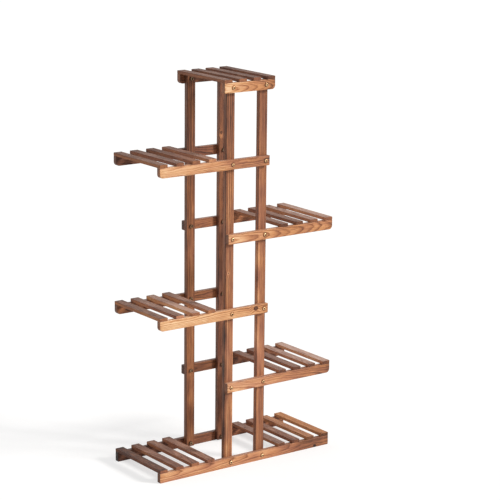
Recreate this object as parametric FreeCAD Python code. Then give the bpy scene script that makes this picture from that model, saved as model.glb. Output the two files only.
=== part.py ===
import FreeCAD, Part
import math
import os

# Tiered plant stand in charred pine. X runs along the rails, left to right, Y runs from
# front to back and Z is up. The origin is on the floor, under the middle of the stand.
# All sizes are millimetres.

# Overall
shelf_depth = 250.0          # outer face of the front rails to outer face of the back rails
frame_width = 150.0          # outer edge of the left posts to outer edge of the right posts
side_reach = 245.0           # how far a side shelf reaches out past the posts
top_overhang = 17.0          # how far the top shelf reaches past the posts on each side
deck_gap = 45.0              # open space between the posts and the nearest slat of a side shelf

# Heights, from one tier's rail top to the next
rise_to_lower_right = 239.0
rise_to_lower_left = 232.0
rise_to_upper_right = 231.0
rise_to_upper_left = 227.0
rise_to_top = 229.0

# Bars
post_width = 30.0            # along X
post_thickness = 15.0        # along Y
post_floor_gap = 4.0         # the posts stop this far above the floor
post_top_gap = 1.0           # and this far under the top slats
rail_height = 30.0
rail_thickness = 15.0
slat_width = 28.0
slat_thickness = 10.0
slats_per_deck = 4

# Sanded edges and corners of the bars
edge_ease = 1.2              # radius on every edge
rail_nose_radius = 12.0      # lower corner at the free end of a rail
rail_corner_radius = 3.0     # lower corners everywhere else

# M6 bolts through rail and post, with a nut on the post's inner face
bolt_diameter = 6.0
bolt_hole_clearance = 0.2    # radial
bolt_head_diameter = 10.5
bolt_head_height = 3.3
bolt_head_flat = 5.8         # diameter of the flat on the rounded head
bolt_head_bulge = 0.7        # how far its side curves out from a straight cone
socket_width = 4.0           # across the flats of the hexagonal socket
socket_depth = 2.0
bolt_tip_chamfer = 0.7
nut_width = 10.0             # across the flats
nut_height = 5.0
nut_clearance = 0.1          # radial, nut bore around the bolt
nut_chamfer = 0.8

# Brads, two at each end of a slat
brad_length = 20.0
brad_diameter = 1.4
brad_head_diameter = 2.4
brad_head_height = 0.9
brad_point_length = 1.5
brad_clearance = 0.1         # radial, in slat and rail
brad_end_clearance = 0.5     # under the point
brad_spacing = 14.0          # across the slat, between the two brads

# Worked out from the sizes above
half_depth = shelf_depth / 2
half_frame = frame_width / 2
half_top = half_frame + top_overhang
half_length = half_frame + side_reach
post_axis = half_frame - post_width / 2
brad_inset = rail_thickness / 2
bolt_length = rail_thickness + post_thickness + nut_height

bottom_level = rail_height
lower_right_level = bottom_level + rise_to_lower_right
lower_left_level = lower_right_level + rise_to_lower_left
upper_right_level = lower_left_level + rise_to_upper_right
upper_left_level = upper_right_level + rise_to_upper_left
top_level = upper_left_level + rise_to_top
post_top = top_level - post_top_gap

left_deck = (-half_length, -half_frame - deck_gap)
right_deck = (half_frame + deck_gap, half_length)

# Each tier: name, level of the rails' top, rail ends in X, and the decks of slats on it.
tiers = [
    ("bottom", bottom_level, (-half_length, half_length), [left_deck, right_deck]),
    ("lower_right", lower_right_level, (-half_frame, half_length), [right_deck]),
    ("lower_left", lower_left_level, (-half_length, half_frame), [left_deck]),
    ("upper_right", upper_right_level, (-half_frame, half_length), [right_deck]),
    ("upper_left", upper_left_level, (-half_length, half_frame), [left_deck]),
    ("top", top_level, (-half_top, half_top), [(-half_top, half_top)]),
]


def vector(x, y, z):
    return FreeCAD.Vector(x, y, z)


def save(shape, node):
    shape.exportStep(os.path.join("parts", node + ".step"))


def moved(shape, x, y, z):
    copy = shape.copy()
    copy.translate(vector(x, y, z))
    return copy


def group(shapes):
    return Part.makeCompound(shapes)


def eased(bar, radius):
    # rounds every edge of a bar by the same small radius
    return bar.makeFillet(radius, bar.Edges)


def hexagon(width, height):
    # a hexagonal prism along +Y, its flats facing up and down
    corner = width / math.sqrt(3)
    points = []
    for step in range(7):
        angle = math.radians(60 * step)
        points.append(vector(corner * math.cos(angle), 0, corner * math.sin(angle)))
    return Part.Face(Part.makePolygon(points)).extrude(vector(0, height, 0))


def turned(profile):
    # a solid turned about the Y axis from (radius, y) points; the last piece closes on the axis
    points = [vector(radius, y, 0) for radius, y in profile]
    face = Part.Face(Part.makePolygon(points + points[:1]))
    return face.revolve(vector(0, 0, 0), vector(0, 1, 0), 360)


def bolt_head():
    # a low dome: a flat in the middle, and an arc down to the rim
    rim = vector(bolt_head_diameter / 2, 0, 0)
    shoulder = vector(bolt_head_flat / 2, -bolt_head_height, 0)
    crown = vector(0, -bolt_head_height, 0)
    middle = (rim + shoulder) / 2 + vector(bolt_head_bulge, -bolt_head_bulge, 0)
    outline = Part.Wire([
        Part.LineSegment(vector(0, 0, 0), rim).toShape(),
        Part.Arc(rim, middle, shoulder).toShape(),
        Part.LineSegment(shoulder, crown).toShape(),
        Part.LineSegment(crown, vector(0, 0, 0)).toShape(),
    ])
    head = Part.Face(outline).revolve(vector(0, 0, 0), vector(0, 1, 0), 360)
    socket = moved(hexagon(socket_width, socket_depth), 0, -bolt_head_height, 0)
    return head.cut(socket)


def bolt():
    # head against the plane y = 0, shank along +Y
    radius = bolt_diameter / 2
    shank = turned([
        (0, 0),
        (radius, 0),
        (radius, bolt_length - bolt_tip_chamfer),
        (radius - bolt_tip_chamfer, bolt_length),
        (0, bolt_length),
    ])
    return bolt_head().fuse(shank).removeSplitter()


def nut():
    # one face against the plane y = 0, the rest along +Y
    corner = nut_width / math.sqrt(3)
    bore = bolt_diameter / 2 + nut_clearance
    rounded = turned([
        (0, 0),
        (corner - nut_chamfer, 0),
        (corner, nut_chamfer),
        (corner, nut_height - nut_chamfer),
        (corner - nut_chamfer, nut_height),
        (0, nut_height),
    ])
    blank = hexagon(nut_width, nut_height).common(rounded)
    return blank.cut(Part.makeCylinder(bore, nut_height, vector(0, 0, 0), vector(0, 1, 0)))


def brad():
    # head's top at z = 0, point down
    radius = brad_diameter / 2
    straight = brad_length - brad_point_length
    head = Part.makeCylinder(brad_head_diameter / 2, brad_head_height, vector(0, 0, -brad_head_height))
    shank = Part.makeCylinder(radius, straight, vector(0, 0, -straight))
    point = Part.makeCone(0, radius, brad_point_length, vector(0, 0, -brad_length))
    return head.fuse([shank, point]).removeSplitter()


def brad_hole():
    # the room a brad takes in slat and rail, with its clearance
    head_radius = brad_head_diameter / 2 + brad_clearance
    radius = brad_diameter / 2 + brad_clearance
    depth = brad_length + brad_end_clearance
    head = Part.makeCylinder(head_radius, brad_head_height, vector(0, 0, -brad_head_height))
    shank = Part.makeCylinder(radius, depth, vector(0, 0, -depth))
    return head.fuse(shank)


def bolt_height(level):
    # bolts go through the middle of a rail
    return level - rail_height / 2


def slat_starts(deck):
    # left edges of the slats of one deck
    start, end = deck
    pitch = (end - start - slat_width) / (slats_per_deck - 1)
    return [start + pitch * number for number in range(slats_per_deck)]


def brad_places(deck):
    # X and Y of the brads of one deck
    places = []
    for start in slat_starts(deck):
        middle = start + slat_width / 2
        for x in (middle - brad_spacing / 2, middle + brad_spacing / 2):
            for y in (brad_inset - half_depth, half_depth - brad_inset):
                places.append((x, y))
    return places


def bolt_hole(length):
    radius = bolt_diameter / 2 + bolt_hole_clearance
    return Part.makeCylinder(radius, length, vector(0, 0, 0), vector(0, 1, 0))


def post():
    # from the left edge and the front face of the post
    height = post_top - post_floor_gap
    bar = Part.makeBox(post_width, post_thickness, height, vector(0, 0, post_floor_gap))
    bar = eased(bar, edge_ease)
    hole = bolt_hole(post_thickness)
    holes = [moved(hole, post_width / 2, 0, bolt_height(level)) for _, level, _, _ in tiers]
    return bar.cut(holes)


def slat():
    # centred on x = 0, standing on z = 0
    bar = Part.makeBox(slat_width, shelf_depth, slat_thickness, vector(-slat_width / 2, -half_depth, 0))
    bar = eased(bar, edge_ease)
    hole = brad_hole()
    holes = []
    for x in (-brad_spacing / 2, brad_spacing / 2):
        for y in (brad_inset - half_depth, half_depth - brad_inset):
            holes.append(moved(hole, x, y, slat_thickness))
    return bar.cut(holes)


def rail_outline(start, end, left_radius, right_radius):
    # the rail seen from the front, from z = -rail_height to z = 0, with both lower corners rounded
    low = -rail_height
    diagonal = 1 - math.sqrt(0.5)
    left_low = vector(start + left_radius, 0, low)
    left_side = vector(start, 0, low + left_radius)
    left_middle = vector(start + left_radius * diagonal, 0, low + left_radius * diagonal)
    right_low = vector(end - right_radius, 0, low)
    right_side = vector(end, 0, low + right_radius)
    right_middle = vector(end - right_radius * diagonal, 0, low + right_radius * diagonal)
    return Part.Wire([
        Part.LineSegment(vector(start, 0, 0), vector(end, 0, 0)).toShape(),
        Part.LineSegment(vector(end, 0, 0), right_side).toShape(),
        Part.Arc(right_side, right_middle, right_low).toShape(),
        Part.LineSegment(right_low, left_low).toShape(),
        Part.Arc(left_low, left_middle, left_side).toShape(),
        Part.LineSegment(left_side, vector(start, 0, 0)).toShape(),
    ])


def rail(start, end, left_radius, right_radius, decks):
    # the rail's top is at z = 0, and its middle plane at y = 0
    outline = rail_outline(start, end, left_radius, right_radius)
    bar = Part.Face(outline).extrude(vector(0, rail_thickness, 0))
    bar = eased(bar, edge_ease)
    bar.translate(vector(0, -rail_thickness / 2, 0))
    hole = moved(bolt_hole(rail_thickness), 0, -rail_thickness / 2, 0)
    holes = [moved(hole, x, 0, bolt_height(0)) for x in (-post_axis, post_axis)]
    for deck in decks:
        across = sorted(set(x for x, _ in brad_places(deck)))
        holes += [moved(brad_hole(), x, 0, slat_thickness) for x in across]
    return bar.cut(holes)


def nose_radii(name, side):
    # a rail's free end has the larger radius; the top rails are one piece, turned round at the back
    if name == "bottom":
        return rail_corner_radius, rail_corner_radius
    if name.endswith("left") or (name == "top" and side == "back"):
        return rail_nose_radius, rail_corner_radius
    return rail_corner_radius, rail_nose_radius


def make_posts():
    blank = post()
    front = rail_thickness - half_depth
    back = half_depth - rail_thickness - post_thickness
    for side, y in (("front", front), ("back", back)):
        save(moved(blank, -half_frame, y, 0), "post_" + side + "_left")
        save(moved(blank, half_frame - post_width, y, 0), "post_" + side + "_right")


def make_rails():
    for name, level, ends, decks in tiers:
        for side, y in (("front", brad_inset - half_depth), ("back", half_depth - brad_inset)):
            radii = nose_radii(name, side)
            bar = rail(ends[0], ends[1], radii[0], radii[1], decks)
            save(moved(bar, 0, y, level), name + "_rail_" + side)


def make_slats():
    blank = slat()
    for name, level, _, decks in tiers:
        starts = [start for deck in decks for start in slat_starts(deck)]
        for number, start in enumerate(starts, 1):
            save(moved(blank, start + slat_width / 2, 0, level), name + "_slat_" + str(number))


def make_bolts_and_nuts():
    blank_bolt = bolt()
    blank_nut = moved(nut(), 0, rail_thickness + post_thickness, 0)
    turn = FreeCAD.Rotation(vector(0, 0, 1), 180)
    for side in ("front", "back"):
        bolts = []
        nuts = []
        for _, level, _, _ in tiers:
            for x in (-post_axis, post_axis):
                bolts.append(moved(blank_bolt, x, -half_depth, bolt_height(level)))
                nuts.append(moved(blank_nut, x, -half_depth, bolt_height(level)))
        bolt_set = group(bolts)
        nut_set = group(nuts)
        if side == "back":
            bolt_set.Placement = FreeCAD.Placement(vector(0, 0, 0), turn)
            nut_set.Placement = FreeCAD.Placement(vector(0, 0, 0), turn)
        save(bolt_set, "bolts_" + side)
        save(nut_set, "nuts_" + side)


def make_brads():
    blank = brad()
    for name, level, _, decks in tiers:
        places = [place for deck in decks for place in brad_places(deck)]
        save(group([moved(blank, x, y, level + slat_thickness) for x, y in places]), name + "_brads")


os.makedirs("parts", exist_ok=True)
make_posts()
make_rails()
make_slats()
make_bolts_and_nuts()
make_brads()
print("overall", 2 * half_length, "x", shelf_depth + 2 * bolt_head_height, "x", top_level + slat_thickness)
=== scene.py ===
import bpy
import math
import random
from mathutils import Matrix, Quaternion, Vector


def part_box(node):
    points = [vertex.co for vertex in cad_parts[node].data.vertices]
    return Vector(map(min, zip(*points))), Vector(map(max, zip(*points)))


# The look of a tiered plant stand in charred and brushed pine: flat bars, brass-plated bolts,
# zinc nuts and steel brads. Metres in the scene, millimetres inside the wood's own patterns.

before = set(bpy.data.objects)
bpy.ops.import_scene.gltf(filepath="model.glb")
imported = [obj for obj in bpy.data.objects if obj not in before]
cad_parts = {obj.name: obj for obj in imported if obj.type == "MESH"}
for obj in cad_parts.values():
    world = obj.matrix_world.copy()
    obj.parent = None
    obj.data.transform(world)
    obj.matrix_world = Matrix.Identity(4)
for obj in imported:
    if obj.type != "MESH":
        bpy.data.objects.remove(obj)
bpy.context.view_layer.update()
print("frame:", len(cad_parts), "nodes")


# Node helpers. A value is a number, a colour, a vector or another node's output.

def feed(tree, socket, value):
    if isinstance(value, bpy.types.NodeSocket):
        tree.links.new(value, socket)
    else:
        socket.default_value = value


def calc(tree, operation, *values):
    step = tree.nodes.new("ShaderNodeMath")
    step.operation = operation
    for socket, value in zip(step.inputs, values):
        feed(tree, socket, value)
    return step.outputs[0]


def total(tree, *values):
    result = values[0]
    for value in values[1:]:
        result = calc(tree, "ADD", result, value)
    return result


def vectorCalc(tree, operation, *values):
    step = tree.nodes.new("ShaderNodeVectorMath")
    step.operation = operation
    for socket, value in zip(step.inputs, values):
        feed(tree, socket, value)
    return step.outputs["Value" if operation in ("LENGTH", "DOT_PRODUCT") else "Vector"]


def combine(tree, x, y, z):
    step = tree.nodes.new("ShaderNodeCombineXYZ")
    for socket, value in zip(step.inputs, (x, y, z)):
        feed(tree, socket, value)
    return step.outputs[0]


def slide(tree, value, start, end, low=0.0, high=1.0):
    # from low at start to high at end, with soft ends
    step = tree.nodes.new("ShaderNodeMapRange")
    step.interpolation_type = "SMOOTHSTEP"
    names = ("Value", "From Min", "From Max", "To Min", "To Max")
    for name, number in zip(names, (value, start, end, low, high)):
        feed(tree, step.inputs[name], number)
    return step.outputs["Result"]


def ramp(tree, value, stops):
    step = tree.nodes.new("ShaderNodeValToRGB")
    band = step.color_ramp
    while len(band.elements) < len(stops):
        band.elements.new(0.5)
    for element, (position, colour) in zip(band.elements, stops):
        element.position = position
        element.color = (*colour, 1)
    feed(tree, step.inputs["Fac"], value)
    return step.outputs["Color"]


def blend(tree, share, first, second):
    step = tree.nodes.new("ShaderNodeMix")
    step.data_type = "RGBA"
    feed(tree, step.inputs["Factor"], share)
    feed(tree, step.inputs[6], first)
    feed(tree, step.inputs[7], second)
    return step.outputs[2]


def noise(tree, place, seed, along, across, detail=2.0, roughness=0.55):
    # cloudy values about 0, drawn out along the grain; along and across are marks per millimetre
    stretch = tree.nodes.new("ShaderNodeMapping")
    feed(tree, stretch.inputs["Vector"], place)
    stretch.inputs["Scale"].default_value = (along, across, across)
    stretch.inputs["Location"].default_value = seed
    step = tree.nodes.new("ShaderNodeTexNoise")
    step.inputs["Scale"].default_value = 1.0
    step.inputs["Detail"].default_value = detail
    step.inputs["Roughness"].default_value = roughness
    feed(tree, step.inputs["Vector"], stretch.outputs[0])
    return calc(tree, "SUBTRACT", step.outputs[0], 0.5)


def newSurface(name):
    material = bpy.data.materials.new(name)
    material.use_nodes = True
    tree = material.node_tree
    shader = tree.nodes["Principled BSDF"]
    return material, tree, shader


def rgb(red, green, blue):
    # a colour as a picture editor shows it, as linear light
    shares = [level / 255 for level in (red, green, blue)]
    return tuple(((s + 0.055) / 1.055) ** 2.4 if s > 0.04045 else s / 12.92 for s in shares)


# Charred pine: how deep the flame went decides the colour, and the year rings, the fibres, the
# knots, the edges and the ends all decide how deep it went. Painted shade on the side faces and round the
# bolts, a painted highlight along the edges and a painted sheen on the tops are mixed in as well.

pine = {
    "honey": [                                   # from burnt to nearly bare, where the flame was quick
        (0.00, rgb(30, 19, 15)),
        (0.18, rgb(65, 40, 30)),
        (0.36, rgb(111, 70, 47)),
        (0.54, rgb(159, 103, 67)),
        (0.70, rgb(202, 141, 94)),
        (0.85, rgb(229, 183, 137)),
        (1.00, rgb(244, 213, 173)),
    ],
    "russet": [                                  # the same where it lingered
        (0.00, rgb(28, 17, 15)),
        (0.18, rgb(60, 37, 31)),
        (0.36, rgb(105, 66, 52)),
        (0.54, rgb(152, 98, 76)),
        (0.70, rgb(188, 129, 101)),
        (0.85, rgb(214, 163, 132)),
        (1.00, rgb(234, 190, 157)),
    ],
    "paintedSheen": [                               # painted sheen: the same, greyed as a reflection of white surroundings greys the tops
        (0.00, rgb(30, 21, 18)),
        (0.18, rgb(60, 42, 36)),
        (0.36, rgb(102, 74, 62)),
        (0.54, rgb(146, 114, 101)),
        (0.70, rgb(188, 158, 145)),
        (0.85, rgb(214, 189, 176)),
        (1.00, rgb(234, 215, 203)),
    ],
    "lateWood": [                                # one year, from its pale spring wood to its dark line
        (0.00, (0.25, 0.25, 0.25)),
        (0.10, (0.0, 0.0, 0.0)),
        (0.50, (0.10, 0.10, 0.10)),
        (0.78, (0.55, 0.55, 0.55)),
        (0.90, (1.0, 1.0, 1.0)),
        (1.00, (0.25, 0.25, 0.25)),
    ],
    "streakDepth": 0.30,                         # streaks some millimetres wide
    "fibreDepth": 0.26,                          # single fibres
    "fleckDepth": 0.10,                          # short dark dashes
    "cloudDepth": 0.24,                          # where the flame lingered
    "edgeBurn": 0.05,
    "edgeReach": 5.0,                            # millimetres
    "wearAndHighlight": 0.14,                                # rubbed edges, paler: wear, and a painted highlight
    "wearAndHighlightReach": (1.7, 0.3),                     # millimetres, from where it starts to where it is full
    "wearAndHighlightPatches": (-0.12, 0.14),                # the speckle between which the wear and painted highlight set in
    "endReach": 22.0,                            # millimetres
    "crackDepth": 0.25,
    "crackWidth": (0.008, 0.001),
    "crackStretches": (0.04, 0.16),              # the clouds between which cracks set in
    "fleckRange": (0.05, 0.17),
    "rippleSize": 1.3,                           # millimetres that the rings waver
    "faintestYear": 0.5,                         # strength of the palest dark line
    "yearSpread": 0.6,                           # and how much stronger the darkest is
    "lingerSpread": 1.6,                         # how much the clouds turn the wood from russet to honey
    "squareOn": (0.55, 0.9),                     # how squarely a face looks, from not at all to fully
    "patchStretch": (0.25, 1.0, 0.5),
    "lateShine": 0.08,                           # how much smoother the dark lines are
    "toneShine": 0.10,                           # and the paler wood
    "fibreMatt": 0.35,
    "extraMatt": 0.06,
    "relief": 0.00035,                           # depth of the brushed grain, metres
    "reliefStrength": 0.8,
    "lateRelief": 0.45,
    "fibreRelief": 0.9,
    "speckleRelief": 0.25,
    "crackRelief": 0.8,
    "rimRelief": 0.4,
}

# Marks per millimetre along and across the grain, detail, and roughness where it isn't the usual one.
grain = {
    "stray": (0.007, 0.016, 1.0),
    "ripple": (0.05, 0.14, 2.0),
    "streaks": (0.012, 0.30, 2.0),
    "fibres": (0.035, 1.5, 3.0, 0.65),
    "clouds": (0.012, 0.035, 1.0),
    "speckle": (0.25, 0.9, 2.0, 0.6),
    "flecks": (0.045, 0.65, 2.0, 0.6),
    "cracks": (0.006, 0.30, 1.0),
}

knotShape = {                                    # reaches are shares of a knot's radius
    "stretch": (0.75, 1.0, 0.12),                # longer along the grain, and through the bar
    "swellReach": (3.2, 0.4),
    "swell": 0.9,                                # how far it pushes the rings aside
    "rimReach": (1.08, 0.78),
    "heartReach": (0.6, 0.25),
}


def grainPlace(tree, nodeName, axes):
    # millimetres from the middle of a bar: along the grain, across its face, through its thickness
    low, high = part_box(nodeName)
    middle = (low + high) / 2
    half = [(high - low)[axis] * 500 for axis in axes]
    seen = tree.nodes.new("ShaderNodeTexCoord").outputs["Object"]
    centred = vectorCalc(tree, "SUBTRACT", seen, tuple(middle))
    scaled = vectorCalc(tree, "MULTIPLY", centred, (1000.0, 1000.0, 1000.0))
    split = tree.nodes.new("ShaderNodeSeparateXYZ")
    feed(tree, split.inputs[0], scaled)
    return combine(tree, *[split.outputs[axis] for axis in axes]), half


def facing(tree, axes):
    # how squarely the surface faces along the grain, across it, and up
    normal = tree.nodes.new("ShaderNodeNewGeometry").outputs["Normal"]
    split = tree.nodes.new("ShaderNodeSeparateXYZ")
    feed(tree, split.inputs[0], normal)
    endOn = slide(tree, calc(tree, "ABSOLUTE", split.outputs[axes[0]]), *pine["squareOn"])
    sideOn = slide(tree, calc(tree, "ABSOLUTE", split.outputs[axes[1]]), *pine["squareOn"])
    topOn = slide(tree, split.outputs[2], *pine["squareOn"])
    return endOn, sideOn, topOn


def edgeDistances(tree, place, half):
    # to the nearest edge of the bar, and to its nearest end
    split = tree.nodes.new("ShaderNodeSeparateXYZ")
    feed(tree, split.inputs[0], place)
    end, side, face = [
        calc(tree, "SUBTRACT", size, calc(tree, "ABSOLUTE", output))
        for size, output in zip(half, split.outputs)
    ]
    corner = calc(tree, "MINIMUM", calc(tree, "MAXIMUM", side, face), end)
    edge = calc(tree, "MAXIMUM", calc(tree, "MINIMUM", side, face), corner)
    return edge, end


def knotMarks(tree, place, knots):
    # what each knot adds to the rings around it, and how dark its rim and heart are
    swell, rim, heart = 0.0, 0.0, 0.0
    swellOut, swellIn = knotShape["swellReach"]
    rimOut, rimIn = knotShape["rimReach"]
    heartOut, heartIn = knotShape["heartReach"]
    for along, across, size, rimDepth, heartDepth in knots:
        offset = vectorCalc(tree, "SUBTRACT", place, (along, across, 0.0))
        reach = vectorCalc(tree, "LENGTH", vectorCalc(tree, "MULTIPLY", offset, knotShape["stretch"]))
        pushed = slide(tree, reach, size * swellOut, size * swellIn, 0.0, size * knotShape["swell"])
        swell = total(tree, swell, pushed)
        inside = slide(tree, reach, size * rimOut, size * rimIn)
        core = slide(tree, reach, size * heartOut, size * heartIn)
        ring = calc(tree, "MULTIPLY", calc(tree, "SUBTRACT", inside, core), rimDepth)
        rim = total(tree, rim, ring)
        heart = total(tree, heart, calc(tree, "MULTIPLY", core, heartDepth))
    return swell, rim, heart


def scorchAndPaintedShading(tree, place, patches):
    # soft patches, four times as long as wide, where the flame stayed or was quick; some on the front posts'
    # left side faces are painted shade (left post) and painted light (right post)
    burnt = 0.0
    for along, across, reach, depth in patches:
        offset = vectorCalc(tree, "SUBTRACT", place, (along, across, 0.0))
        away = vectorCalc(tree, "LENGTH", vectorCalc(tree, "MULTIPLY", offset, pine["patchStretch"]))
        burnt = total(tree, burnt, slide(tree, away, reach, 0.0, 0.0, depth))
    return burnt


def stripeMarks(tree, place, stripes):
    # paler or darker bands that run the whole length of a bar
    local = tree.nodes.new("ShaderNodeSeparateXYZ")
    feed(tree, local.inputs[0], place)
    burnt = 0.0
    for across, reach, depth in stripes:
        away = calc(tree, "ABSOLUTE", calc(tree, "SUBTRACT", local.outputs[1], across))
        burnt = total(tree, burnt, slide(tree, away, reach, 0.0, 0.0, depth))
    return burnt


def yearRings(tree, place, look, seeds, swell):
    # Rings are round the tree's middle, which runs past the bar at a slight slant.
    lean = tree.nodes.new("ShaderNodeMapping")
    feed(tree, lean.inputs["Vector"], place)
    pithAcross, pithThrough = look["pith"]
    leanAcross, leanThrough = look["lean"]
    lean.inputs["Location"].default_value = (0, -pithAcross, -pithThrough)
    lean.inputs["Rotation"].default_value = (0, math.radians(leanThrough), math.radians(leanAcross))
    outward = vectorCalc(tree, "LENGTH", vectorCalc(tree, "MULTIPLY", lean.outputs[0], (0.0, 1.0, 1.0)))
    stray = calc(tree, "MULTIPLY", noise(tree, place, seeds[0], *grain["stray"]), look["wander"])
    ripple = calc(tree, "MULTIPLY", noise(tree, place, seeds[1], *grain["ripple"]), pine["rippleSize"])
    years = calc(tree, "DIVIDE", total(tree, outward, stray, ripple, swell), look["ringWidth"])
    season = ramp(tree, calc(tree, "FRACT", years), pine["lateWood"])
    lottery = tree.nodes.new("ShaderNodeTexWhiteNoise")
    lottery.noise_dimensions = "1D"
    feed(tree, lottery.inputs["W"], calc(tree, "FLOOR", years))
    luck = calc(tree, "MULTIPLY_ADD", lottery.outputs["Value"], pine["yearSpread"], pine["faintestYear"])
    return calc(tree, "MULTIPLY", season, luck)


def charredPine(nodeName, family, look):
    axes = family["axes"]
    draw = random.Random(nodeName)
    seeds = [tuple(draw.uniform(-50, 50) for _ in range(3)) for _ in range(7)]
    material, tree, shader = newSurface("charredPine." + nodeName)
    place, half = grainPlace(tree, nodeName, axes)
    endOn, sideOn, topOn = facing(tree, axes)
    edge, end = edgeDistances(tree, place, half)
    swell, rim, heart = knotMarks(tree, place, look["knots"])
    lateWood = yearRings(tree, place, look, seeds, swell)

    streaks = noise(tree, place, seeds[2], *grain["streaks"])
    fibres = noise(tree, place, seeds[3], *grain["fibres"])
    clouds = noise(tree, place, seeds[4], *grain["clouds"])
    speckle = noise(tree, place, seeds[5], *grain["speckle"])
    flecks = slide(tree, noise(tree, place, seeds[1], *grain["flecks"]), *pine["fleckRange"])

    # Drying checks: thin dark lines along the grain, only in some stretches.
    offLine = calc(tree, "ABSOLUTE", noise(tree, place, seeds[6], *grain["cracks"]))
    crackLine = slide(tree, offLine, *pine["crackWidth"])
    cracks = calc(tree, "MULTIPLY", crackLine, slide(tree, clouds, *pine["crackStretches"]))

    # The tone runs from 0, burnt black, to 1, nearly bare wood.
    splitPlace = tree.nodes.new("ShaderNodeSeparateXYZ")
    feed(tree, splitPlace.inputs[0], place)
    alongShare = calc(tree, "DIVIDE", splitPlace.outputs[0], half[0])
    edgeChar = calc(tree, "MULTIPLY", slide(tree, edge, pine["edgeReach"], 0.0), pine["edgeBurn"])
    endChar = calc(tree, "MULTIPLY", slide(tree, end, pine["endReach"], 0.0), look["endBurn"])
    # Paler edges: rubbed wear, and a painted highlight where the rounded edges catch light.
    nearEdge = slide(tree, edge, *pine["wearAndHighlightReach"])
    rubbedAndHighlit = calc(tree, "MULTIPLY", nearEdge, slide(tree, speckle, *pine["wearAndHighlightPatches"]))
    # Painted shade round the bolt heads and nuts on rails and posts; a real stain round the brads on slats.
    stainAndShade = calc(tree, "MULTIPLY", family["stainAndShade"](tree, place), family["stainAndShadeDepth"])
    tone = total(
        tree,
        calc(tree, "MULTIPLY_ADD", alongShare, look["slope"], look["tone"]),
        calc(tree, "MULTIPLY", streaks, pine["streakDepth"]),
        calc(tree, "MULTIPLY", fibres, pine["fibreDepth"]),
        calc(tree, "MULTIPLY", clouds, pine["cloudDepth"]),
        calc(tree, "MULTIPLY", rubbedAndHighlit, pine["wearAndHighlight"]),
        calc(tree, "MULTIPLY", flecks, -pine["fleckDepth"]),
        calc(tree, "MULTIPLY", lateWood, -look["ringDepth"]),
        calc(tree, "MULTIPLY", cracks, -pine["crackDepth"]),
        calc(tree, "MULTIPLY", scorchAndPaintedShading(tree, place, look["patches"]), -1.0),
        calc(tree, "MULTIPLY", stripeMarks(tree, place, look["stripes"]), -1.0),
        calc(tree, "MULTIPLY", rim, -1.0),
        calc(tree, "MULTIPLY", heart, -1.0),
        calc(tree, "MULTIPLY", stainAndShade, -1.0),
        calc(tree, "MULTIPLY", edgeChar, -1.0),
        calc(tree, "MULTIPLY", endChar, -1.0),
        calc(tree, "MULTIPLY", endOn, -look["endGrainBurn"]),
        # Narrow side faces darker: deeper char, and painted shade; below 0, painted light instead.
        calc(tree, "MULTIPLY", sideOn, -look["sideCharAndPaintedShade"]),
    )
    lingered = calc(tree, "ADD", calc(tree, "MULTIPLY", clouds, -pine["lingerSpread"]), look["russet"])
    colour = blend(tree, lingered, ramp(tree, tone, pine["honey"]), ramp(tree, tone, pine["russet"]))
    # Painted sheen: upward faces greyed, as a reflection of white surroundings greys them.
    sheenShare = calc(tree, "MULTIPLY", topOn, look["paintedTopSheen"])
    colour = blend(tree, sheenShare, colour, ramp(tree, tone, pine["paintedSheen"]))
    feed(tree, shader.inputs["Base Color"], colour)

    # Satin: late wood takes more polish, burnt wood less.
    polish = total(
        tree,
        calc(tree, "MULTIPLY", lateWood, -pine["lateShine"]),
        calc(tree, "MULTIPLY", fibres, pine["fibreMatt"]),
        calc(tree, "MULTIPLY_ADD", tone, -pine["toneShine"], family["roughness"] + pine["extraMatt"]),
    )
    feed(tree, shader.inputs["Roughness"], polish)
    shader.inputs["Specular IOR Level"].default_value = family["specular"]

    # Brushing takes the soft spring wood away and leaves the dark lines standing.
    height = total(
        tree,
        calc(tree, "MULTIPLY", lateWood, pine["lateRelief"]),
        calc(tree, "MULTIPLY", fibres, pine["fibreRelief"]),
        calc(tree, "MULTIPLY", speckle, pine["speckleRelief"]),
        calc(tree, "MULTIPLY", cracks, -pine["crackRelief"]),
        calc(tree, "MULTIPLY", rim, -pine["rimRelief"]),
    )
    bump = tree.nodes.new("ShaderNodeBump")
    bump.inputs["Strength"].default_value = pine["reliefStrength"]
    bump.inputs["Distance"].default_value = pine["relief"]
    feed(tree, bump.inputs["Height"], height)
    feed(tree, shader.inputs["Normal"], bump.outputs[0])
    return material


def ownLook(nodeName, family):
    # each bar is sawn from another place in the tree; the family's own list overrides the draw
    draw = random.Random("saw " + nodeName)
    look = {
        "tone": family["tone"] + draw.uniform(-1, 1) * family["toneSpread"],
        "slope": draw.uniform(-0.05, 0.05),
        "russet": family["russet"] + draw.uniform(-0.15, 0.15),
        "pith": (draw.uniform(-20, 20), draw.choice((-1, 1)) * draw.uniform(18, 38)),
        "lean": (draw.uniform(-0.8, 0.8), draw.choice((-1, 1)) * draw.uniform(0.8, 3.4)),
        "ringWidth": draw.uniform(*family["ringWidth"]),
        "wander": family["wander"],
        "ringDepth": family["ringDepth"],
        "endBurn": family["endBurn"],
        "endGrainBurn": family["endGrainBurn"],
        "sideCharAndPaintedShade": family["sideCharAndPaintedShade"],
        "paintedTopSheen": family["paintedTopSheen"],
        "knots": [],
        "patches": [],
        "stripes": [],
    }
    for start, changes in family["own"].items():
        if nodeName.startswith(start):
            look.update(changes)
    return look


def dressed(nodeName, material):
    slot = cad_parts[nodeName].material_slots[0]
    slot.link = "OBJECT"
    slot.material = material


def finishBars(family, nodeNames):
    for nodeName in nodeNames:
        dressed(nodeName, charredPine(nodeName, family, ownLook(nodeName, family)))


stainsAndShade = {                                       # millimetres, from clear to full depth: painted shade round the bolts, a real stain round the brads
    "boltShadeReach": (8.6, 5.4),
    "aroundBrad": (3.2, 1.2),
    "bradStretch": 0.45,                         # below 1 draws the bloom out along the grain
}


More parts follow.
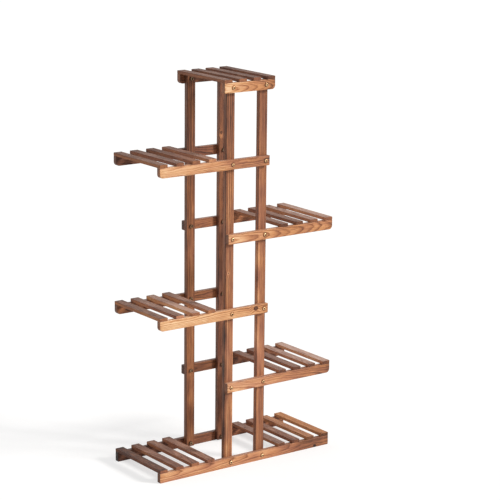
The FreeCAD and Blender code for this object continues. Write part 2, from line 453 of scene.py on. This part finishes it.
def boltDistance(tree):
    # millimetres from the nearest bolt's middle line; bolts stand where posts and rails cross
    low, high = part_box("post_front_right")
    split = tree.nodes.new("ShaderNodeSeparateXYZ")
    feed(tree, split.inputs[0], tree.nodes.new("ShaderNodeTexCoord").outputs["Object"])
    sideways = calc(tree, "SUBTRACT", calc(tree, "ABSOLUTE", split.outputs[0]), (low.x + high.x) / 2)
    upward = 1.0                                 # metres, further than any place is from a bolt's level
    for nodeName in sorted(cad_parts):
        if nodeName.endswith("_rail_front"):
            low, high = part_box(nodeName)
            away = calc(tree, "ABSOLUTE", calc(tree, "SUBTRACT", split.outputs[2], (low.z + high.z) / 2))
            upward = calc(tree, "MINIMUM", upward, away)
    apart = vectorCalc(tree, "LENGTH", combine(tree, sideways, upward, 0.0))
    return calc(tree, "MULTIPLY", apart, 1000.0)


# Painted shade: a dark ring round each bolt head and nut, standing in for its shadow and the shade at its
# foot.
def paintedBoltShade(tree, place):
    return slide(tree, boltDistance(tree), *stainsAndShade["boltShadeReach"])


def bradStain(tree, place):
    # slats: a dark bloom drawn out along the grain around each brad
    local = tree.nodes.new("ShaderNodeSeparateXYZ")
    feed(tree, local.inputs[0], place)
    along = calc(tree, "SUBTRACT", calc(tree, "ABSOLUTE", local.outputs[0]), slats["bradAlong"])
    across = calc(tree, "SUBTRACT", calc(tree, "ABSOLUTE", local.outputs[1]), slats["bradAcross"])
    offset = combine(tree, calc(tree, "MULTIPLY", along, stainsAndShade["bradStretch"]), across, 0.0)
    return slide(tree, vectorCalc(tree, "LENGTH", offset), *stainsAndShade["aroundBrad"])


# Rails. A knot is: along and across from the bar's middle, radius, depth of its rim, depth of its
# heart, the first three in millimetres. A patch is: along, across, reach and depth. A stripe is:
# across, reach and depth. A depth below 0 makes the wood paler.

rails = {
    "axes": (0, 2, 1),
    "tone": 0.56,
    "toneSpread": 0.03,
    "russet": 0.45,
    "ringWidth": (2.4, 3.4),
    "wander": 9.0,                               # how far the rings stray, millimetres
    "ringDepth": 0.30,                           # how much deeper the dark line of a year burns
    "endBurn": 0.05,
    "endGrainBurn": 0.34,
    "sideCharAndPaintedShade": 0.03,
    "paintedTopSheen": 0.3,                           # how much painted sheen greys the tops
    "specular": 0.24,
    "roughness": 0.46,
    # painted shade round the bolt heads
    "stainAndShade": paintedBoltShade,
    "stainAndShadeDepth": 0.36,
    "own": {
        # Every front rail is paler towards its left end, by its slope, and the upper-right rail also by a
        # patch.
        "top_rail_front": {
            "tone": 0.76, "slope": -0.16, "russet": 0.0, "pith": (-4, 24), "lean": (1.2, 5.0),
            "ringWidth": 2.8,
            "patches": [(-86, -4, 14, -0.06)],
        },
        "upper_left_rail_front": {
            "tone": 0.77, "slope": -0.10, "russet": 0.30, "pith": (16, 26), "lean": (0.3, 1.0),
            "ringWidth": 2.7,
            "patches": [(150, 4, 30, 0.06)],
        },
        "upper_right_rail_front": {
            "tone": 0.74, "slope": -0.04, "russet": 0.15, "pith": (-3, 28), "lean": (-0.3, 3.6),
            "ringWidth": 2.9,
            "patches": [(20, 0, 30, 0.08), (-190, 0, 22, -0.17)],
        },
        "lower_left_rail_front": {
            "tone": 0.82, "slope": -0.08, "russet": -0.10, "pith": (20, 14), "lean": (0.4, 0.8),
            "ringWidth": 3.6,
            "ringDepth": 0.34,
            "knots": [(151.6, 5.0, 7.0, 0.42, 0.28)],
            "patches": [(20, 0, 40, -0.04)],
        },
        "lower_right_rail_front": {
            "tone": 0.72, "slope": -0.14, "russet": 0.40, "pith": (-14, 26), "lean": (0.3, 1.8),
            "ringWidth": 2.8,
        },
        "bottom_rail_front": {
            "tone": 0.72, "slope": -0.06, "russet": 0.40, "pith": (9, 24), "lean": (0.2, 1.6),
            "ringWidth": 3.0,
            "knots": [(265.9, -10.2, 5.0, 0.40, 0.35)],
            "patches": [(250, 0, 40, 0.16)],
        },
        "top_rail_back": {"tone": 0.48, "slope": 0.0, "russet": 0.30, "endGrainBurn": -0.08},
        "upper_left_rail_back": {"tone": 0.48, "slope": 0.06, "russet": 0.60, "endGrainBurn": 0.0},
        "lower_left_rail_back": {"tone": 0.56, "slope": 0.05, "russet": 0.10, "endGrainBurn": 0.04},
        "bottom_rail_back": {"tone": 0.50, "slope": 0.12, "russet": 0.60, "endGrainBurn": 0.24},
        "upper_right_rail_back": {
            "tone": 0.56, "slope": 0.0, "russet": 0.45, "ringDepth": 0.22, "endGrainBurn": 0.22,
        },
        "lower_right_rail_back": {
            "tone": 0.46, "slope": 0.02, "russet": 0.20, "ringDepth": 0.20, "endGrainBurn": 0.14,
        },
    },
}
finishBars(rails, [n for n in sorted(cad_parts) if "_rail_" in n])
print("rails done")


posts = {
    "axes": (2, 0, 1),
    "tone": 0.60,
    "toneSpread": 0.02,
    "russet": 0.35,
    "ringWidth": (2.4, 3.2),
    "wander": 3.5,
    "ringDepth": 0.24,
    "endBurn": 0.05,
    "endGrainBurn": 0.25,
    # side faces darker: char, and painted shade
    "sideCharAndPaintedShade": 0.07,
    "paintedTopSheen": 0.3,
    "specular": 0.24,
    "roughness": 0.46,
    # painted shade round the nuts
    "stainAndShade": paintedBoltShade,
    "stainAndShadeDepth": 0.08,
    "own": {
        "post_front_left": {
            "tone": 0.56, "slope": 0.0, "russet": 0.35, "pith": (22, 12), "lean": (0.2, 0.3),
            "ringWidth": 4.6,
            "ringDepth": 0.30, "sideCharAndPaintedShade": 0.03,
            "knots": [(14.8, -3.5, 4.5, -0.16, 0.40)],
            "patches": [
                (560, 0, 90, 0.10), (-230, 4, 40, -0.08), (-430, 2, 60, -0.03),
                # the last four: painted shade on the lower part of the left side face
                (-180, -18, 16, 0.26), (-280, -18, 16, 0.26), (-380, -18, 16, 0.20), (-480, -18, 16, 0.24),
            ],
            "stripes": [(-5, 1.8, -0.20), (2, 2.5, -0.08), (13, 4, -0.10)],
        },
        "post_front_right": {
            "tone": 0.59, "slope": 0.0, "russet": 0.50, "pith": (26, 14), "lean": (0.2, 0.3),
            "ringWidth": 4.2,
            "ringDepth": 0.18, "sideCharAndPaintedShade": 0.05,
            "patches": [
                (560, 0, 100, 0.08), (-230, 0, 40, -0.08), (-560, 0, 50, 0.06),
                # the last three: painted light on the left side face
                (40, -17, 18, -0.16), (-80, -17, 18, -0.16), (-210, -17, 18, -0.16),
            ],
            "stripes": [(-10, 4, -0.07), (12, 5, 0.04)],
        },
        "post_back_left": {
            "tone": 0.51, "slope": -0.05, "russet": 0.20, "pith": (-22, 12), "lean": (0.2, 0.4),
            "ringWidth": 4.4,
            "ringDepth": 0.32,
            "patches": [(20, 0, 30, -0.10), (180, 7, 8, -0.20)],
            "stripes": [(5, 2, -0.14)],
        },
        "post_back_right": {
            "tone": 0.47, "slope": 0.02, "russet": 0.45, "pith": (24, 14), "lean": (-0.2, 0.3),
            "ringWidth": 4.4,
            "ringDepth": 0.26, "sideCharAndPaintedShade": 0.02,
            "knots": [(402.0, -8.0, 4.4, 0.30, 0.30), (394.0, -7.0, 8.0, -0.14, -0.14)],
            "stripes": [(3, 4, -0.08)],
        },
    },
}
finishBars(posts, [n for n in sorted(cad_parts) if n.startswith("post_")])
print("posts done")


slats = {
    "axes": (1, 0, 2),
    "tone": 0.56,
    "toneSpread": 0.05,
    "russet": 0.55,
    "ringWidth": (2.2, 3.2),
    "wander": 9.0,
    "ringDepth": 0.22,
    "endBurn": 0.02,
    "endGrainBurn": -0.03,
    # below 0: slat sides paler, painted light
    "sideCharAndPaintedShade": -0.05,
    "paintedTopSheen": 0.85,
    "specular": 0.20,
    "roughness": 0.62,
    "stainAndShade": bradStain,
    "stainAndShadeDepth": 0.10,
    "bradAlong": 117.5,                          # from the middle of a slat, millimetres
    "bradAcross": 7.0,
    "own": {
        "top_slat": {"tone": 0.43, "endGrainBurn": -0.12},
        "top_slat_1": {"tone": 0.46, "endGrainBurn": -0.09},
        "top_slat_4": {"endGrainBurn": 0.06},
        "upper_left_slat": {"tone": 0.48, "endGrainBurn": -0.04},
        "upper_left_slat_1": {"russet": 0.1, "sideCharAndPaintedShade": -0.08, "endGrainBurn": -0.09},
        "upper_left_slat_3": {"paintedTopSheen": 0.4},
        "upper_left_slat_4": {"tone": 0.57, "endGrainBurn": -0.14, "paintedTopSheen": 0.6},
        "upper_right_slat": {"tone": 0.53, "endGrainBurn": 0.12},
        "upper_right_slat_1": {"tone": 0.56, "endGrainBurn": 0.16},
        "upper_right_slat_2": {"endGrainBurn": 0.06},
        # slats 3 and 4: tops paler, a painted sheen, with the ends darkened back
        "upper_right_slat_3": {"tone": 0.62},
        "upper_right_slat_4": {"tone": 0.71, "endGrainBurn": 0.18},
        "lower_left_slat": {"tone": 0.50, "endGrainBurn": -0.10},
        "lower_left_slat_1": {"russet": 0.1, "sideCharAndPaintedShade": -0.10},
        "lower_left_slat_2": {"tone": 0.56, "endGrainBurn": -0.23},
        "lower_left_slat_3": {"tone": 0.71, "russet": 0.3, "paintedTopSheen": 0.75, "endGrainBurn": 0.12},
        "lower_left_slat_4": {"tone": 0.62, "russet": 0.3, "paintedTopSheen": 0.75, "endGrainBurn": -0.01},
        "lower_right_slat": {"tone": 0.53, "endGrainBurn": 0.18},
        # slats 3 and 4: tops paler, a painted sheen, with the ends darkened back
        "lower_right_slat_3": {"tone": 0.68, "endGrainBurn": 0.26},
        "lower_right_slat_4": {"tone": 0.76, "endGrainBurn": 0.32},
        "bottom_slat": {"tone": 0.52, "paintedTopSheen": 0.6},
        # painted shade: darker all over except its ends
        "bottom_slat_1": {"tone": 0.36, "endGrainBurn": -0.17},
        "bottom_slat_3": {"tone": 0.56, "endGrainBurn": -0.08},
        "bottom_slat_4": {"tone": 0.58, "endGrainBurn": 0.02},
        "bottom_slat_5": {"tone": 0.57, "endGrainBurn": 0.16, "paintedTopSheen": 0.95},
        "bottom_slat_6": {"endGrainBurn": 0.08},
        "bottom_slat_7": {"tone": 0.66, "russet": -0.1, "endGrainBurn": 0.23, "paintedTopSheen": 0.2},
        "bottom_slat_8": {"tone": 0.68, "russet": -0.1, "endGrainBurn": 0.26, "paintedTopSheen": 0.0},
    },
}
finishBars(slats, [n for n in sorted(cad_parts) if "_slat_" in n])
print("slats done")


# Metal. Tarnish gathers in patches, handling leaves fine scratches, and the bolts' sockets get painted shade.

bolts = {
    "clean": rgb(232, 194, 148),
    "tarnish": rgb(158, 112, 74),
    "patches": 260.0,                            # per metre
    "roughness": (0.34, 0.55),
    "socketReach": 2.35,                         # millimetres from the bolt's middle, within which the socket gets painted shade
    "socketShade": rgb(60, 44, 34),
}
nuts = {"clean": rgb(158, 134, 108), "tarnish": rgb(88, 68, 52), "patches": 220.0, "roughness": (0.34, 0.56)}
brads = {"clean": rgb(128, 118, 108), "tarnish": rgb(56, 46, 38), "patches": 420.0, "roughness": (0.40, 0.65)}


plating = {
    "patchDetail": 3.0,
    "tarnishFrom": (0.42, 0.66),                 # the patches between which tarnish sets in
    "scratches": 900.0,                          # per metre
    "scratchDetail": 2.0,
    "scratchStretch": (1.0, 1.0, 6.0),
    "scratchRange": (0.35, 0.7),
    "scratchDepth": 0.4,
    "relief": 0.00005,                           # metres
    "socketShadeEdge": (1.08, 0.92),                   # shares of socketReach
    "socketRoughness": 0.85,
}


def platedMetal(name, metal):
    material, tree, shader = newSurface(name)
    seen = tree.nodes.new("ShaderNodeTexCoord").outputs["Object"]
    patches = tree.nodes.new("ShaderNodeTexNoise")
    patches.inputs["Scale"].default_value = metal["patches"]
    patches.inputs["Detail"].default_value = plating["patchDetail"]
    feed(tree, patches.inputs["Vector"], seen)
    scratches = tree.nodes.new("ShaderNodeTexNoise")
    scratches.inputs["Scale"].default_value = plating["scratches"]
    scratches.inputs["Detail"].default_value = plating["scratchDetail"]
    feed(tree, scratches.inputs["Vector"], vectorCalc(tree, "MULTIPLY", seen, plating["scratchStretch"]))
    dull = slide(tree, patches.outputs[0], *plating["tarnishFrom"])
    colour = blend(tree, dull, (*metal["clean"], 1), (*metal["tarnish"], 1))
    roughness = slide(tree, scratches.outputs[0], *plating["scratchRange"], *metal["roughness"])
    shader.inputs["Metallic"].default_value = 1.0
    # Painted shade in the hex socket: dark and matt towards the middle.
    if "socketShade" in metal:
        clear, full = [metal["socketReach"] * share for share in plating["socketShadeEdge"]]
        socketShadeShare = slide(tree, boltDistance(tree), clear, full)
        colour = blend(tree, socketShadeShare, colour, (*metal["socketShade"], 1))
        socketMatt = calc(tree, "MULTIPLY", socketShadeShare, plating["socketRoughness"])
        roughness = calc(tree, "MAXIMUM", roughness, socketMatt)
    feed(tree, shader.inputs["Base Color"], colour)
    feed(tree, shader.inputs["Roughness"], roughness)
    bump = tree.nodes.new("ShaderNodeBump")
    bump.inputs["Strength"].default_value = plating["scratchDepth"]
    bump.inputs["Distance"].default_value = plating["relief"]
    feed(tree, bump.inputs["Height"], scratches.outputs[0])
    feed(tree, shader.inputs["Normal"], bump.outputs[0])
    return material


def finishMetal(nodeNames, name, metal):
    material = platedMetal(name, metal)
    for nodeName in nodeNames:
        dressed(nodeName, material)


finishMetal(["bolts_front", "bolts_back"], "brassPlate", bolts)
finishMetal(["nuts_front", "nuts_back"], "zincPlate", nuts)
finishMetal([n for n in sorted(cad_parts) if n.endswith("_brads")], "bradSteel", brads)
print("metal done")


# Floor and surroundings: white where the camera or a reflection looks, a plain level for the light.

studio = {
    "floorSize": 80.0,
    "floorColour": (0.80, 0.79, 0.78, 1),
    "floorSeen": (0.45, 0.45, 0.45, 1),          # share of the light that the seen floor takes from lamps
    "floorGlow": 0.62,                           # and the rest of its white
    "ambient": 0.42,
    "keyFrom": (0.60, -0.66, 0.52),
    "keyStrength": 2.9,
    "keySize": 14.0,                             # degrees across, for soft shadows
    "keyColour": (1.0, 0.975, 0.94),
    "fillFrom": (-0.25, 0.95, 0.20),             # from behind, so that the back is seen as well
    "fillStrength": 1.0,
    "fillSize": 60.0,
}


def lookingRays(tree):
    path = tree.nodes.new("ShaderNodeLightPath")
    mirrored = calc(tree, "MAXIMUM", path.outputs["Is Glossy Ray"], path.outputs["Is Transmission Ray"])
    return calc(tree, "MAXIMUM", path.outputs["Is Camera Ray"], mirrored)


def makeFloor():
    bpy.ops.mesh.primitive_plane_add(size=studio["floorSize"])
    floor = bpy.context.object
    floor.name = "floor"
    material = bpy.data.materials.new("paleFloor")
    material.use_nodes = True
    tree = material.node_tree
    tree.nodes.clear()
    lit = tree.nodes.new("ShaderNodeBsdfDiffuse")
    lit.inputs["Color"].default_value = studio["floorColour"]
    seen = tree.nodes.new("ShaderNodeBsdfDiffuse")
    seen.inputs["Color"].default_value = studio["floorSeen"]
    glow = tree.nodes.new("ShaderNodeEmission")
    glow.inputs["Strength"].default_value = studio["floorGlow"]
    both = tree.nodes.new("ShaderNodeAddShader")
    feed(tree, both.inputs[0], seen.outputs[0])
    feed(tree, both.inputs[1], glow.outputs[0])
    choice = tree.nodes.new("ShaderNodeMixShader")
    feed(tree, choice.inputs[0], lookingRays(tree))
    feed(tree, choice.inputs[1], lit.outputs[0])
    feed(tree, choice.inputs[2], both.outputs[0])
    output = tree.nodes.new("ShaderNodeOutputMaterial")
    feed(tree, output.inputs["Surface"], choice.outputs[0])
    floor.data.materials.append(material)


def makeSurroundings():
    world = bpy.data.worlds.new("studio")
    world.use_nodes = True
    tree = world.node_tree
    sky = tree.nodes["Background"]
    sky.inputs["Color"].default_value = (1, 1, 1, 1)
    strength = calc(tree, "MULTIPLY_ADD", lookingRays(tree), 1 - studio["ambient"], studio["ambient"])
    feed(tree, sky.inputs["Strength"], strength)
    bpy.context.scene.world = world


def makeLight(name, colour):
    lamp = bpy.data.lights.new(name, "SUN")
    lamp.energy = studio[name + "Strength"]
    lamp.angle = math.radians(studio[name + "Size"])
    lamp.color = colour
    light = bpy.data.objects.new(name, lamp)
    light.rotation_mode = "QUATERNION"
    light.rotation_quaternion = Vector(studio[name + "From"]).to_track_quat("Z", "Y")
    bpy.context.scene.collection.objects.link(light)


makeFloor()
makeSurroundings()
makeLight("key", studio["keyColour"])
makeLight("fill", (1, 1, 1))
print("studio done")


shot = {
    "target": (0.0518, -0.0607, 0.6577),         # what stands in the middle of the picture
    "azimuth": -36.25,                           # degrees round from the front; below 0 is to the left
    "elevation": 13.30,
    "distance": 5.796,
    "roll": 0.58,
    "lens": 136.72,                              # millimetres
    "sensor": 36.0,                              # millimetres wide
    "farEnd": 200.0,                             # metres; past the edge of the floor
}


def makeCamera():
    lens = bpy.data.cameras.new("camera")
    lens.lens = shot["lens"]
    lens.sensor_width = shot["sensor"]
    lens.clip_end = shot["farEnd"]
    camera = bpy.data.objects.new("camera", lens)
    azimuth, elevation = math.radians(shot["azimuth"]), math.radians(shot["elevation"])
    back = Vector((
        math.sin(azimuth) * math.cos(elevation),
        -math.cos(azimuth) * math.cos(elevation),
        math.sin(elevation),
    ))
    camera.location = Vector(shot["target"]) + back * shot["distance"]
    camera.rotation_mode = "QUATERNION"
    roll = Quaternion((0, 0, 1), math.radians(shot["roll"]))
    camera.rotation_quaternion = (-back).to_track_quat("-Z", "Y") @ roll
    bpy.context.scene.collection.objects.link(camera)
    bpy.context.scene.camera = camera


makeCamera()
bpy.context.scene.view_settings.view_transform = "Standard"
print("camera done")
